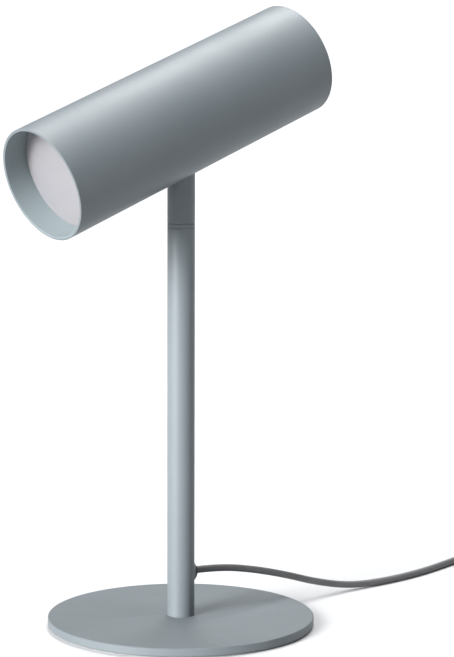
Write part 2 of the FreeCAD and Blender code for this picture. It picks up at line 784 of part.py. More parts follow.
def led_driver():
    """Closed driver box on the bracket's bed, with a fixing tab at each end."""
    box = block(
        Vector(-DRIVER_HALF + DRIVER_FOOT_INSET, -DRIVER_FRONT, BRACKET_TOP),
        Vector(DRIVER_HALF - DRIVER_FOOT_INSET, -DRIVER_REAR, BRACKET_TOP + DRIVER_HEIGHT),
    )
    upper = block(
        Vector(-DRIVER_HALF, -DRIVER_FRONT, BRACKET_TOP + DRIVER_FOOT),
        Vector(DRIVER_HALF, -DRIVER_REAR, BRACKET_TOP + DRIVER_HEIGHT),
    )
    tabs = block(
        Vector(-DRIVER_TAB_HALF, -DRIVER_FRONT - DRIVER_TAB, BRACKET_TOP),
        Vector(DRIVER_TAB_HALF, -DRIVER_REAR + DRIVER_TAB, BRACKET_TOP + DRIVER_TAB_THICK),
    )
    whole = box.fuse([upper, tabs]).removeSplitter()
    whole = whole.makeFillet(DRIVER_EDGE, edges_at(whole, "Z", BRACKET_TOP + DRIVER_HEIGHT))
    return in_head(whole.cut([driver_screw(s, RUNNING_GAP) for s in driver_screw_stations()]))


def lead_route(x):
    """One thin lead from the driver, over the pivot, to the back of the light unit."""
    return [
        Vector(x, -DRIVER_FRONT, BRACKET_TOP + 17),
        Vector(x, 22, -9),
        Vector(x, 12, 15),
        Vector(x, -6, 27),
        Vector(x, -34, 31.4),
        Vector(x, -SINK_REAR + 6, 32.2),
        Vector(x, -SINK_FRONT, 32.0),
    ]


def driver_leads():
    leads = []
    for x in (-LEAD_SPACING / 2, LEAD_SPACING / 2):
        route = lead_route(x)
        wire, _ = rounded_route(route)
        way = (route[1] - route[0]).normalize()
        section = Part.Wire([Part.makeCircle(LEAD_R, route[0], way)])
        leads.append(wire.makePipeShell([section], True, False))
    return in_head(group(leads))


# ---- cord, switch and plug ----------------------------------------------------------------


def power_cord_lamp():
    return cord_tube(CORD_TO_SWITCH, "lamp cord")


def power_cord_coil_lead():
    return cord_tube(CORD_TO_COIL, "coil lead")


def power_cord_plug_lead():
    return cord_tube(CORD_TO_PLUG, "plug lead")


def cord_coil():
    """Outer shape of the put-away coil: a flat ring of two layers of turns."""
    ring = pipe(COIL_OUTER + CORD_R, COIL_INNER - CORD_R, COIL_LOW, COIL_HIGH)
    ring = ring.makeFillet(COIL_EDGE, ring.Edges)
    ring.translate(COIL_CENTRE)
    return ring


def cord_tie():
    """Strap round the bundle of turns."""
    inner = COIL_INNER - CORD_R
    outer = COIL_OUTER + CORD_R
    half = TIE_WIDTH / 2
    outside = block(
        Vector(inner - TIE_THICK, -half, COIL_LOW),
        Vector(outer + TIE_THICK, half, COIL_HIGH + TIE_THICK),
    )
    across = [e for e in outside.Edges if abs(e.tangentAt(0).y) > 0.9]
    outside = outside.makeFillet(COIL_EDGE, across)
    strap = outside.cut(pipe(outer, inner, COIL_LOW - OVERCUT, COIL_HIGH))
    strap.rotate(Vector(0, 0, 0), Z, TIE_ANGLE)
    strap.translate(COIL_CENTRE)
    return strap


def stadium(length, half_width, low, high):
    """A block along +X from the switch's start, its ends drawn in to half its width."""
    small = half_width - SWITCH_NOSE_INSET
    far = length - SWITCH_NOSE
    points = [
        (0, -small), (SWITCH_NOSE, -half_width), (far, -half_width), (length, -small),
        (length, small), (far, half_width), (SWITCH_NOSE, half_width), (0, small), (0, -small),
    ]
    face = Part.Face(Part.makePolygon([Vector(x, y, low) for x, y in points]))
    return face.extrude(Z * (high - low))


def at_switch(shape):
    placed = shape.copy()
    placed.translate(SWITCH_START)
    return placed


def switch_cavity():
    length = SWITCH_LENGTH - 2 * SWITCH_WALL
    inner = stadium(length, SWITCH_HALF - SWITCH_WALL, SWITCH_WALL, SWITCH_HEIGHT - SWITCH_WALL)
    inner.translate(X * SWITCH_WALL)
    return inner


def switch_cord_hole():
    start = Vector(-OVERCUT, 0, SWITCH_SPLIT)
    return rod(CORD_R, start, Vector(SWITCH_LENGTH + OVERCUT, 0, SWITCH_SPLIT))


def switch_screw(x, gap=0.0):
    shank = upright(SWITCH_SCREW_R + gap, SWITCH_SCREW_LOW, SWITCH_SCREW_TOP, x=x)
    head = upright(SWITCH_SCREW_HEAD_R + gap, SWITCH_SCREW_LOW, SWITCH_SCREW_SEAT, x=x)
    return shank.fuse(head)


def screw_holes():
    return [switch_screw(x, RUNNING_GAP) for x in SWITCH_SCREWS_X]


def screw_posts(low, high):
    return [upright(SWITCH_POST_R, low, high, x=x) for x in SWITCH_SCREWS_X]


def switch_base():
    """Lower shell with posts for the two screws from below."""
    shell = stadium(SWITCH_LENGTH, SWITCH_HALF, 0, SWITCH_SPLIT)
    shell = shell.makeFillet(SWITCH_LOWER_EDGE, edges_at(shell, "Z", 0))
    shell = shell.cut(switch_cavity())
    shell = shell.fuse(screw_posts(SWITCH_POST_SUNK, SWITCH_SPLIT - CORD_R - SWITCH_POST_GAP))
    mouth_r = SWITCH_SCREW_HEAD_R + RUNNING_GAP
    mouths = [upright(mouth_r, -OVERCUT, SWITCH_SCREW_LOW + MOUTH_OVERLAP, x=x) for x in SWITCH_SCREWS_X]
    shell = shell.cut([switch_cord_hole()] + screw_holes() + mouths)
    return at_switch(shell.removeSplitter())


def switch_cover():
    """Upper shell with the rocker's window and its two bearings."""
    shell = stadium(SWITCH_LENGTH, SWITCH_HALF, SWITCH_SPLIT, SWITCH_HEIGHT)
    shell = shell.makeFillet(SWITCH_UPPER_EDGE, edges_at(shell, "Z", SWITCH_HEIGHT))
    shell = shell.cut(switch_cavity())
    post_low = SWITCH_SPLIT + CORD_R + SWITCH_POST_GAP
    roof = SWITCH_HEIGHT - SWITCH_POST_SUNK
    shell = shell.fuse(screw_posts(post_low, roof))
    middle = SWITCH_LENGTH / 2
    half_length = ROCKER_LENGTH / 2 + ROCKER_WINDOW_GAP_X
    half_width = ROCKER_WIDTH / 2 + ROCKER_WINDOW_GAP_Y
    window = block(
        Vector(middle - half_length, -half_width, SWITCH_HEIGHT - SWITCH_WALL - OVERCUT),
        Vector(middle + half_length, half_width, SWITCH_HEIGHT + OVERCUT),
    )
    bearings = []
    for side in (-1, 1):
        low_y = side * (half_width + BEARING_THICK / 2) - BEARING_THICK / 2
        start = Vector(middle - BEARING_HALF, low_y, ROCKER_PIVOT_Z - BEARING_HALF)
        bearings.append(block(start, Vector(middle + BEARING_HALF, low_y + BEARING_THICK, roof)))
    shell = shell.fuse(bearings)
    pivot = Vector(middle, 0, ROCKER_PIVOT_Z)
    across = Y * (half_width + BEARING_THICK + OVERCUT)
    pivot_bore = rod(TRUNNION_R + RUNNING_GAP, pivot - across, pivot + across)
    shell = shell.cut([window, pivot_bore, switch_cord_hole()] + screw_holes())
    return at_switch(shell.removeSplitter())


def switch_screws():
    return at_switch(group([switch_screw(x) for x in SWITCH_SCREWS_X]))


def switch_rocker():
    """Rocker with trunnions, tipped to its off side."""
    half = ROCKER_LENGTH / 2
    profile = [
        Vector(-half, 0, ROCKER_SHOULDER),
        Vector(-half, 0, ROCKER_TOP),
        Vector(0, 0, ROCKER_TOP - ROCKER_DIP),
        Vector(half, 0, ROCKER_TOP),
        Vector(half, 0, ROCKER_SHOULDER),
        Vector(ROCKER_FOOT_HALF, 0, ROCKER_UNDERSIDE),
        Vector(-ROCKER_FOOT_HALF, 0, ROCKER_UNDERSIDE),
        Vector(-half, 0, ROCKER_SHOULDER),
    ]
    body = Part.Face(Part.makePolygon(profile)).extrude(Y * ROCKER_WIDTH)
    body.translate(Y * (-ROCKER_WIDTH / 2))
    pivot = Vector(0, 0, ROCKER_PIVOT_Z)
    reach = ROCKER_WIDTH / 2 + TRUNNION_LENGTH
    trunnion = rod(TRUNNION_R, pivot - Y * reach, pivot + Y * reach)
    rocker = body.fuse(trunnion)
    rocker.rotate(pivot, Y, ROCKER_TILT)
    rocker.translate(X * (SWITCH_LENGTH / 2))
    return at_switch(rocker)


def switch_contacts():
    """Two brass strips on the switch's floor."""
    half = Vector(CONTACT_HALF_LENGTH, CONTACT_HALF_WIDTH, CONTACT_THICK / 2)
    strips = []
    for y in (-CONTACT_OFFSET, CONTACT_OFFSET):
        centre = Vector(SWITCH_LENGTH / 2, y, SWITCH_WALL + CONTACT_THICK / 2)
        strips.append(block(centre - half, centre + half))
    return at_switch(group(strips))


def plug_body():
    """Flat two-pin plug body, lying on the table with its pins towards -Y."""
    sections = []
    for distance, half_width, half_tall in PLUG_SECTIONS:
        sections.append(rounded_section(half_width, half_tall, PLUG_START.y - distance))
    body = Part.makeLoft(sections, True, True)
    hole = rod(CORD_R, PLUG_START + Y * OVERCUT, PLUG_START - Y * PLUG_CORD_DEPTH)
    return body.cut([hole] + [plug_pin(side) for side in (-1, 1)])


def rounded_section(half_width, half_tall, y):
    """A rectangle with fully rounded ends, upright at one station along Y."""
    radius = half_tall * PLUG_ROUNDING
    flat = max(half_width - radius, PLUG_LEAST_FLAT)
    centre = Vector(PLUG_START.x, y, PLUG_START.z)
    left = centre - X * flat
    right = centre + X * flat
    top = Part.LineSegment(left + Z * radius, right + Z * radius).toShape()
    cap_right = Part.Arc(right + Z * radius, right + X * radius, right - Z * radius).toShape()
    bottom = Part.LineSegment(right - Z * radius, left - Z * radius).toShape()
    cap_left = Part.Arc(left - Z * radius, left - X * radius, left + Z * radius).toShape()
    return Part.Wire([top, cap_right, bottom, cap_left])


def pin_rod(side, radius, behind, ahead):
    """A rod on one pin's axis, from behind the plug's front face to ahead of it."""
    front = PLUG_START.y - PLUG_LENGTH
    x = PLUG_START.x + side * PIN_SPACING / 2
    return rod(radius, Vector(x, front + behind, PLUG_START.z), Vector(x, front - ahead, PLUG_START.z))


def plug_pin(side):
    """Round-nosed pin: a thinner root in the body and under its sleeve, and a full-size tip."""
    front = PLUG_START.y - PLUG_LENGTH
    root = pin_rod(side, PIN_ROOT_R, PIN_EMBEDDED, PIN_SLEEVE_LENGTH + OVERCUT)
    tip = pin_rod(side, PIN_R, -PIN_SLEEVE_LENGTH, PIN_LENGTH)
    tip = tip.makeFillet(PIN_NOSE, edges_at(tip, "Y", front - PIN_LENGTH))
    return root.fuse(tip).removeSplitter()


def plug_pins():
    return group([plug_pin(side) for side in (-1, 1)])


def plug_pin_sleeves():
    """Insulating sleeves on the half of each pin next to the plug."""
    sleeves = []
    for side in (-1, 1):
        outer = pin_rod(side, PIN_SLEEVE_R, 0, PIN_SLEEVE_LENGTH)
        sleeves.append(outer.cut(pin_rod(side, PIN_ROOT_R, OVERCUT, PIN_SLEEVE_LENGTH + OVERCUT)))
    return group(sleeves)


PIECES = [
    base_pad, base_plate, base_screw, stem_foot, locating_dowel, stem_tube, cord_grommet, cord_clamp,
    inner_cord, stem_bush, stop_pin, swivel_nipple, swivel_ring, swivel_washer, lock_nut, neck_bush,
    neck_tube, knuckle, tilt_washers, pivot_bolt, spring_washer, pivot_nut, head_bracket, shade_tube,
    shade_screws, rear_cap, heat_sink, board_screws, led_board, led_chips, light_chamber, diffuser,
    led_driver, driver_screws, driver_leads, power_cord_lamp, power_cord_coil_lead, cord_coil, cord_tie,
    power_cord_plug_lead, switch_base, switch_cover, switch_screws, switch_rocker, switch_contacts,
    plug_body, plug_pins, plug_pin_sleeves,
]


def main():
    os.makedirs("parts", exist_ok=True)
    for piece in PIECES:
        shape = piece()
        if not shape.isValid():
            print("NOT VALID", piece.__name__)
        shape.exportStep("parts/" + piece.__name__ + ".step")


main()
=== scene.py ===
"""Looks of the desk lamp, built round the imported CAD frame. Metres, +Z up, as in the CAD."""

import json
import math

import bpy
from mathutils import Matrix, Vector


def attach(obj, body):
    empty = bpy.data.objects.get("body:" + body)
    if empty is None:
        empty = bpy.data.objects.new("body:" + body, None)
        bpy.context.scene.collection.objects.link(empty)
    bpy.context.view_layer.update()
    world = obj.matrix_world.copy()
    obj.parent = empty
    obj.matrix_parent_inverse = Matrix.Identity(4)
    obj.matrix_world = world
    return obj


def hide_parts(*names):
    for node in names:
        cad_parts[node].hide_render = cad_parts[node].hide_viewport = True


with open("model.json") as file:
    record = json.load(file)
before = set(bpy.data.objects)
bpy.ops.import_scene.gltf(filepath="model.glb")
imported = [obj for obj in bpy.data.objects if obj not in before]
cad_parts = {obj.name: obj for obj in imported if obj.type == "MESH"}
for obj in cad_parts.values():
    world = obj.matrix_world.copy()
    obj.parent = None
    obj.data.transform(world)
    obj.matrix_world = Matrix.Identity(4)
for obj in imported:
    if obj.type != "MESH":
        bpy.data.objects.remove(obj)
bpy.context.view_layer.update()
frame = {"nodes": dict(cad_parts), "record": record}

nodes = frame["nodes"]
MM = 0.001

# linear base colours; where there are two, a slow noise blends from one to the other
PAINT_DARK = (0.096, 0.113, 0.123)
PAINT_LIGHT = (0.105, 0.121, 0.131)
# painted light: a lighter tone on the shade's bore in front of the diffuser stands in for light falling
# into the mouth, not for a lighter paint
BORE_PAINTED_LIGHT = (0.17, 0.203, 0.214)
CORD_DARK = (0.062, 0.063, 0.065)
CORD_LIGHT = (0.084, 0.085, 0.088)
DIFFUSER_COOL = (0.178, 0.175, 0.19)
DIFFUSER_WARM = (0.188, 0.184, 0.19)


def add_object(name, data):
    """A new object in the scene, at the origin."""
    made = bpy.data.objects.new(name, data)
    bpy.context.scene.collection.objects.link(made)
    return made


# ---- camera -------------------------------------------------------------------------------

CAMERA_PLACE = Vector((1.2636, -1.0123, 0.4147))
CAMERA_HEADING = math.radians(50.24)
CAMERA_DROP = math.radians(7.63)
CAMERA_ROLL = math.radians(0.19)
CAMERA_LENS = 137.07
CAMERA_SENSOR_WIDTH = 36
CAMERA_REACH = 200


def make_camera():
    """Looks along its heading, turned from +Y towards -X, and a little down."""
    forward = Vector((
        -math.sin(CAMERA_HEADING) * math.cos(CAMERA_DROP),
        math.cos(CAMERA_HEADING) * math.cos(CAMERA_DROP),
        -math.sin(CAMERA_DROP),
    ))
    level = Vector((math.cos(CAMERA_HEADING), math.sin(CAMERA_HEADING), 0))
    upright = level.cross(forward)
    right = level * math.cos(CAMERA_ROLL) + upright * math.sin(CAMERA_ROLL)
    up = right.cross(forward)
    data = bpy.data.cameras.new("camera")
    data.lens = CAMERA_LENS
    data.sensor_width = CAMERA_SENSOR_WIDTH
    data.clip_end = CAMERA_REACH
    camera = add_object("camera", data)
    turn = Matrix((right, up, -forward)).transposed().to_4x4()
    camera.matrix_world = Matrix.Translation(CAMERA_PLACE) @ turn
    bpy.context.scene.camera = camera


make_camera()

# ---- cords --------------------------------------------------------------------------------

CORD_D = 4.8 * MM
COIL_CENTRE = Vector((132, 292.2, 0)) * MM
COIL_INNER = 19.8 * MM
COIL_OUTER = 37.8 * MM
COIL_TURNS = 7.25
COIL_POINTS_PER_TURN = 20
COIL_LOW = 2.5 * MM
COIL_HIGH = 7.4 * MM
COIL_CLIMB_TURNS = 0.5

# the cords' routes outside the coil, in mm
TO_SWITCH = [
    (0, 11.6, 35.0),
    (0, 33, 33.9),
    (0, 61, 28.5),
    (0, 91, 20.3),
    (0, 121, 10.3),
    (1.5, 152, 3.4),
    (3, 187, 2.5),
    (-0.5, 222, 2.5),
    (-9, 256, 2.5),
    (-17, 285, 2.5),
    (-12, 312, 3.0),
    (6, 328, 5.0),
    (22, 333, 8.0),
    (36, 333, 8.0),
]
TO_COIL = [
    (96, 333, 8.0),
    (108, 333, 6.6),
    (120, 331.6, 3.6),
]
TO_PLUG = [
    (170.3, 282, 7.6),
    (172.0, 272, 7.2),
    (172.8, 262, 7.0),
]


def in_metres(points):
    return [Vector(p) * MM for p in points]


def limited(share):
    return min(max(share, 0), 1)


def coil_points():
    """Clockwise from the +Y side: half of the turns run inwards, the rest outwards on top of them."""
    points = []
    count = int(COIL_TURNS * COIL_POINTS_PER_TURN)
    for k in range(count + 1):
        turns = k / COIL_POINTS_PER_TURN
        angle = math.pi / 2 - 2 * math.pi * turns
        inward = 1 - abs(1 - 2 * turns / COIL_TURNS)
        radius = COIL_OUTER + (COIL_INNER - COIL_OUTER) * inward
        climb = limited((turns - COIL_TURNS / 2) / COIL_CLIMB_TURNS + 0.5)
        height = COIL_LOW + (COIL_HIGH - COIL_LOW) * climb * climb * (3 - 2 * climb)
        points.append(COIL_CENTRE + Vector((radius * math.cos(angle), radius * math.sin(angle), height)))
    return points


def cord_curve(name, points):
    """A round cord on one smooth line; its points carry the radius, so that its box is the cord's own."""
    data = bpy.data.curves.new(name, "CURVE")
    data.dimensions = "3D"
    data.bevel_depth = 1.0
    data.bevel_resolution = 6
    data.use_fill_caps = True
    spline = data.splines.new("NURBS")
    spline.points.add(len(points) - 1)
    for point, place in zip(spline.points, points):
        point.co = (*place, 1)
        point.radius = CORD_D / 2
    spline.order_u = 3
    spline.use_endpoint_u = True
    spline.resolution_u = 10
    return add_object(name, data)


SHARP_ANGLE = math.radians(40)


def mesh_piece(name, rings):
    """A skin over rings of points, each ring closed on itself, with flat ends."""
    count = len(rings[0])
    faces = []
    for k in range(len(rings) - 1):
        for j in range(count):
            after = (j + 1) % count
            low = k * count
            faces.append((low + j, low + after, low + count + after, low + count + j))
    faces.append(tuple(reversed(range(count))))
    faces.append(tuple(range((len(rings) - 1) * count, len(rings) * count)))
    mesh = bpy.data.meshes.new(name)
    mesh.from_pydata([point for ring in rings for point in ring], [], faces)
    mesh.shade_smooth()
    mesh.set_sharp_from_angle(angle=SHARP_ANGLE)
    piece = add_object(name, mesh)
    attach(piece, "stand")
    return piece


# the bundle of cord that the strap holds: its section is a rectangle with rounded corners, which a
# roundness of 1 would turn into an ellipse, and the power gives the direction outwards from it
BUNDLE_MIDDLE = 27.6 * MM
BUNDLE_HALF = 10.2 * MM
BUNDLE_MIDDLE_Z = 5.35 * MM
BUNDLE_HALF_Z = 4.6 * MM
BUNDLE_ROUNDNESS = 0.4
BUNDLE_OUT_POWER = 3

# the strap: where on the coil it is, and how far round the bundle each part of it starts and ends
TIE_ANGLE = math.radians(200)
TIE_START = math.radians(105)
TIE_SWEEP = math.radians(425)
TIE_STEPS = 180
TIE_SECOND_LAYER = math.radians(250)
TIE_SECOND_LAYER_RISE = math.radians(60)
TIE_LOOSE_END = math.radians(400)
TIE_LOOSE_LENGTH = math.radians(25)
TIE_LOOSE_LIFT = 0.9 * MM
TIE_LAYER = 0.69 * MM

# half of the strap's section in mm, across and outwards: from the middle of its outer side, over the
# thicker woven edge, to the middle of its inner side
TIE_HALF_SECTION = [
    (0, 0.55), (2, 0.55), (4, 0.55), (4.3, 0.69), (4.65, 0.69),
    (4.85, 0.5175), (5, 0.2415), (4.85, 0), (0, 0),
]


def strap_section():
    """Distance across the strap and out from the bundle, once round the strap's section."""
    other_half = [(-across, out) for across, out in reversed(TIE_HALF_SECTION[1:-1])]
    return [(across * MM, out * MM) for across, out in TIE_HALF_SECTION + other_half]


def squared(wave):
    """A sine or cosine kept close to its peaks, which turns a circle into a rounded square."""
    return math.copysign(abs(wave) ** BUNDLE_ROUNDNESS, wave)


def coil_tie():
    """Once round the bundle and on over its top as a second layer, with the loose end a little raised."""
    radial = Vector((math.cos(TIE_ANGLE), math.sin(TIE_ANGLE), 0))
    along = Vector((-math.sin(TIE_ANGLE), math.cos(TIE_ANGLE), 0))
    up = Vector((0, 0, 1))
    rings = []
    for k in range(TIE_STEPS + 1):
        wound = TIE_SWEEP * k / TIE_STEPS
        second = limited((wound - TIE_SECOND_LAYER) / TIE_SECOND_LAYER_RISE)
        loose = max((wound - TIE_LOOSE_END) / TIE_LOOSE_LENGTH, 0)
        offset = TIE_LAYER * second + TIE_LOOSE_LIFT * loose * loose
        across = squared(math.cos(TIE_START - wound))
        rise = squared(math.sin(TIE_START - wound))
        out = (radial * across ** BUNDLE_OUT_POWER + up * rise ** BUNDLE_OUT_POWER).normalized()
        foot = COIL_CENTRE + radial * (BUNDLE_MIDDLE + BUNDLE_HALF * across)
        foot += up * (BUNDLE_MIDDLE_Z + BUNDLE_HALF_Z * rise)
        rings.append([foot + out * (offset + h) + along * w for w, h in strap_section()])
    return mesh_piece("coil_tie", rings)


# the ribbed sleeves where a cord leaves the switch or the plug; a groove starts where its wave, which runs
# from -1 to 1, passes the groove start, and the end values bevel the tip and close it on the cord
RELIEF_RIBS = 4
RELIEF_PITCH = 1.9 * MM
RELIEF_ROOT = 3.9 * MM
RELIEF_TIP = 3.0 * MM
RELIEF_GROOVE = 0.55 * MM
RELIEF_GROOVE_START = 0.2
RELIEF_STEPS_PER_RIB = 12
RELIEF_STEPS_SUNK = 6
RELIEF_END_BEVEL = 0.25 * MM
RELIEF_BEVEL_HEIGHT = 0.22 * MM
RELIEF_END_HEIGHT = 0.3 * MM
CIRCLE_POINTS = 40


def circle(start, turn, radius, height):
    points = []
    for k in range(CIRCLE_POINTS):
        angle = 2 * math.pi * k / CIRCLE_POINTS
        points.append(start + turn @ Vector((radius * math.cos(angle), radius * math.sin(angle), height)))
    return points


def strain_relief(name, start, direction):
    """A tapered rubber sleeve with rounded grooves, from inside a housing along the cord."""
    turn = direction.to_track_quat("Z", "Y")
    tip = RELIEF_RIBS * RELIEF_PITCH
    steps = RELIEF_RIBS * RELIEF_STEPS_PER_RIB
    rings = []
    for k in range(-RELIEF_STEPS_SUNK, steps + 1):
        share = max(k, 0) / steps
        wave = -math.cos(2 * math.pi * share * RELIEF_RIBS)
        groove = RELIEF_GROOVE * max(wave - RELIEF_GROOVE_START, 0)
        radius = RELIEF_ROOT + (RELIEF_TIP - RELIEF_ROOT) * share - groove
        rings.append(circle(start, turn, radius, tip * k / steps))
    rings.append(circle(start, turn, RELIEF_TIP - RELIEF_END_BEVEL, tip + RELIEF_BEVEL_HEIGHT))
    rings.append(circle(start, turn, CORD_D / 2, tip + RELIEF_END_HEIGHT))
    return mesh_piece(name, rings)


tie = coil_tie()
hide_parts("cord_tie")
into_switch = in_metres(TO_SWITCH)[-1]
switch_relief_in = strain_relief("switch_relief_lamp_side", into_switch, Vector((-1, 0, 0)))
out_of_switch = in_metres(TO_COIL)[0]
switch_relief_out = strain_relief("switch_relief_plug_side", out_of_switch, Vector((1, 0, 0)))
plug_relief = strain_relief("plug_relief", in_metres(TO_PLUG)[-1], Vector((0, 1, 0)))

cord_lamp = cord_curve("mains_cord_lamp_side", in_metres(TO_SWITCH))
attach(cord_lamp, "stand")
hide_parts("power_cord_lamp")

cord_plug = cord_curve("mains_cord_plug_side", in_metres(TO_COIL) + coil_points() + in_metres(TO_PLUG))
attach(cord_plug, "stand")
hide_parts("power_cord_coil_lead", "cord_coil", "power_cord_plug_lead")

# ---- material helpers ---------------------------------------------------------------------

# where the shade is at rest, and the part of its bore that lies in front of the diffuser
SHADE_PIVOT = (0, 0, 337 * MM)
SHADE_TILT = math.radians(20)
SHADE_BORE_R = 35.8 * MM
BORE_SIDE_FADE = 0.3 * MM
BORE_START = 90 * MM
BORE_START_FADE = 1 * MM


class Shader:
    """A Principled material with a few short-hands for procedural detail in object coordinates."""

    def __init__(self, name):
        self.material = bpy.data.materials.new(name)
        self.material.use_nodes = True
        self.tree = self.material.node_tree
        self.surface = self.tree.nodes["Principled BSDF"]
        self.place = self.add("ShaderNodeTexCoord").outputs["Object"]

    def add(self, kind, **settings):
        node = self.tree.nodes.new(kind)
        for name, value in settings.items():
            setattr(node, name, value)
        return node

    def link(self, start, end):
        self.tree.links.new(start, end)

    def constants(self, **values):
        for name, value in values.items():
            self.surface.inputs[name.replace("_", " ")].default_value = value

    def stretched(self, scale):
        node = self.add("ShaderNodeMapping")
        node.inputs["Scale"].default_value = scale
        self.link(self.place, node.inputs["Vector"])
        return node.outputs["Vector"]

    def noise(self, scale, detail=2.0, roughness=0.5, where=None):
        node = self.add("ShaderNodeTexNoise")
        node.inputs["Scale"].default_value = scale
        node.inputs["Detail"].default_value = detail
        node.inputs["Roughness"].default_value = roughness
        self.link(where or self.place, node.inputs["Vector"])
        return node.outputs["Fac"]

    def cells(self, scale, where=None):
        node = self.add("ShaderNodeTexVoronoi")
        node.inputs["Scale"].default_value = scale
        self.link(where or self.place, node.inputs["Vector"])
        return node.outputs["Distance"]

    def rings(self, scale, direction="Z", distortion=0.0):
        """Turned or drawn lines around one axis."""
        node = self.add("ShaderNodeTexWave", wave_type="RINGS", rings_direction=direction)
        node.inputs["Scale"].default_value = scale
        node.inputs["Distortion"].default_value = distortion
        self.link(self.place, node.inputs["Vector"])
        return node.outputs["Fac"]

    def bands(self, scale, direction, where=None):
        node = self.add("ShaderNodeTexWave", wave_type="BANDS", bands_direction=direction)
        node.inputs["Scale"].default_value = scale
        self.link(where or self.place, node.inputs["Vector"])
        return node.outputs["Fac"]

    def edges(self, low=0.5, high=0.56):
        """Nought on flats, rising to one where the surface turns a corner outwards."""
        return self.spread(self.add("ShaderNodeNewGeometry").outputs["Pointiness"], 0, 1, low, high)

    def in_bore(self):
        """One on the shade's inner wall in front of the diffuser, nought everywhere else."""
        turned = self.add("ShaderNodeMapping", vector_type="TEXTURE")
        turned.inputs["Location"].default_value = SHADE_PIVOT
        turned.inputs["Rotation"].default_value = (SHADE_TILT, 0, 0)
        self.link(self.place, turned.inputs["Vector"])
        across = self.add("ShaderNodeVectorMath", operation="MULTIPLY")
        across.inputs[1].default_value = (1, 0, 1)
        self.link(turned.outputs["Vector"], across.inputs[0])
        distance = self.add("ShaderNodeVectorMath", operation="LENGTH")
        self.link(across.outputs["Vector"], distance.inputs[0])
        beyond = SHADE_BORE_R + BORE_SIDE_FADE
        inside = self.spread(distance.outputs["Value"], 1, 0, SHADE_BORE_R, beyond)
        split = self.add("ShaderNodeSeparateXYZ")
        self.link(turned.outputs["Vector"], split.inputs["Vector"])
        full = -BORE_START - BORE_START_FADE
        in_front = self.spread(split.outputs["Y"], 1, 0, full, -BORE_START)
        return self.combined("MULTIPLY", inside, in_front)

    def combined(self, operation, first, second):
        node = self.add("ShaderNodeMath", operation=operation)
        for socket, value in zip(node.inputs, (first, second)):
            if isinstance(value, float):
                socket.default_value = value
            else:
                self.link(value, socket)
        return node.outputs["Value"]

    def spread(self, value, low, high, in_low=0.3, in_high=0.7):
        node = self.add("ShaderNodeMapRange")
        node.inputs["From Min"].default_value = in_low
        node.inputs["From Max"].default_value = in_high
        node.inputs["To Min"].default_value = low
        node.inputs["To Max"].default_value = high
        self.link(value, node.inputs["Value"])
        return node.outputs["Result"]

    def blend(self, value, first, second):
        """A mix of two colours, each given as three numbers or as another node's colour."""
        node = self.add("ShaderNodeMix", data_type="RGBA")
        self.link(value, node.inputs["Factor"])
        for socket, colour in zip((node.inputs["A"], node.inputs["B"]), (first, second)):
            if isinstance(colour, tuple):
                socket.default_value = (*colour, 1)
            else:
                self.link(colour, socket)
        return node.outputs["Result"]

    def bumps(self, *layers):
        """Each layer is (height, strength, distance); the bumps add up."""
        before = None
        for height, strength, distance in layers:
            node = self.add("ShaderNodeBump")
            node.inputs["Strength"].default_value = strength
            node.inputs["Distance"].default_value = distance
            self.link(height, node.inputs["Height"])
            if before:
                self.link(before, node.inputs["Normal"])
            before = node.outputs["Normal"]
        self.link(before, self.surface.inputs["Normal"])

    def colour(self, socket):
        self.link(socket, self.surface.inputs["Base Color"])

    def roughness(self, socket):
        self.link(socket, self.surface.inputs["Roughness"])


# ---- materials ----------------------------------------------------------------------------


def powder_coat(name, first, second, rough_low, rough_high, painted_bore_light=None):
    """Satin paint: faint cloudy tone, fine speckle, uneven gloss, orange peel, thin paint on edges."""
    s = Shader(name)
    cloudy = s.blend(s.spread(s.noise(22, 3), 0, 1), first, second)
    speckle = s.spread(s.noise(2600, 1), 0, 0.16, 0.5, 0.8)
    dusted = s.blend(speckle, cloudy, tuple(1.25 * c for c in second))
    worn = s.blend(s.combined("MULTIPLY", s.edges(), 0.3), dusted, tuple(1.4 * c for c in second))
    # where given, the bore in front of the diffuser gets a lighter colour, a painted light standing in for
    # the light that falls into it
    s.colour(s.blend(s.in_bore(), worn, painted_bore_light) if painted_bore_light else worn)
    grain = s.spread(s.noise(1400, 2), rough_low, rough_high)
    rubbed = s.spread(s.noise(30, 4, 0.6), -0.03, 0.03)
    s.roughness(s.combined("ADD", grain, rubbed))
    s.bumps((s.noise(520, 2), 0.045, 0.0004), (s.noise(2300, 1), 0.07, 0.00015))
    s.constants(Specular_IOR_Level=0.35)
    return s


def painted_steel():
    return powder_coat("painted_steel", PAINT_DARK, PAINT_LIGHT, 0.43, 0.53)


def painted_aluminium():
    return powder_coat("painted_aluminium", PAINT_DARK, PAINT_LIGHT, 0.43, 0.53, BORE_PAINTED_LIGHT)


def painted_screw_steel():
    return powder_coat("painted_screw_steel", PAINT_DARK, PAINT_LIGHT, 0.3, 0.42)


def pad_foam_rubber():
    """Closed fine cells, with the cut edge's open pores."""
    s = Shader("pad_foam_rubber")
    pores = s.cells(1300)
    s.colour(s.blend(s.spread(pores, 0, 1, 0.1, 0.5), (0.13, 0.135, 0.14), (0.2, 0.205, 0.21)))
    s.roughness(s.spread(s.noise(200), 0.75, 0.95))
    s.bumps((pores, 0.5, 0.0004), (s.noise(90, 3), 0.1, 0.0006))
    return s


def grommet_rubber():
    s = Shader("grommet_rubber")
    s.colour(s.blend(s.spread(s.noise(160, 3), 0, 1), (0.165, 0.185, 0.205), (0.195, 0.215, 0.235)))
    s.roughness(s.spread(s.noise(900, 2), 0.5, 0.68))
    s.bumps((s.noise(1500, 2), 0.12, 0.0002), (s.noise(240, 2), 0.06, 0.0004))
    s.constants(Sheen_Weight=0.15, Sheen_Roughness=0.4)
    return s


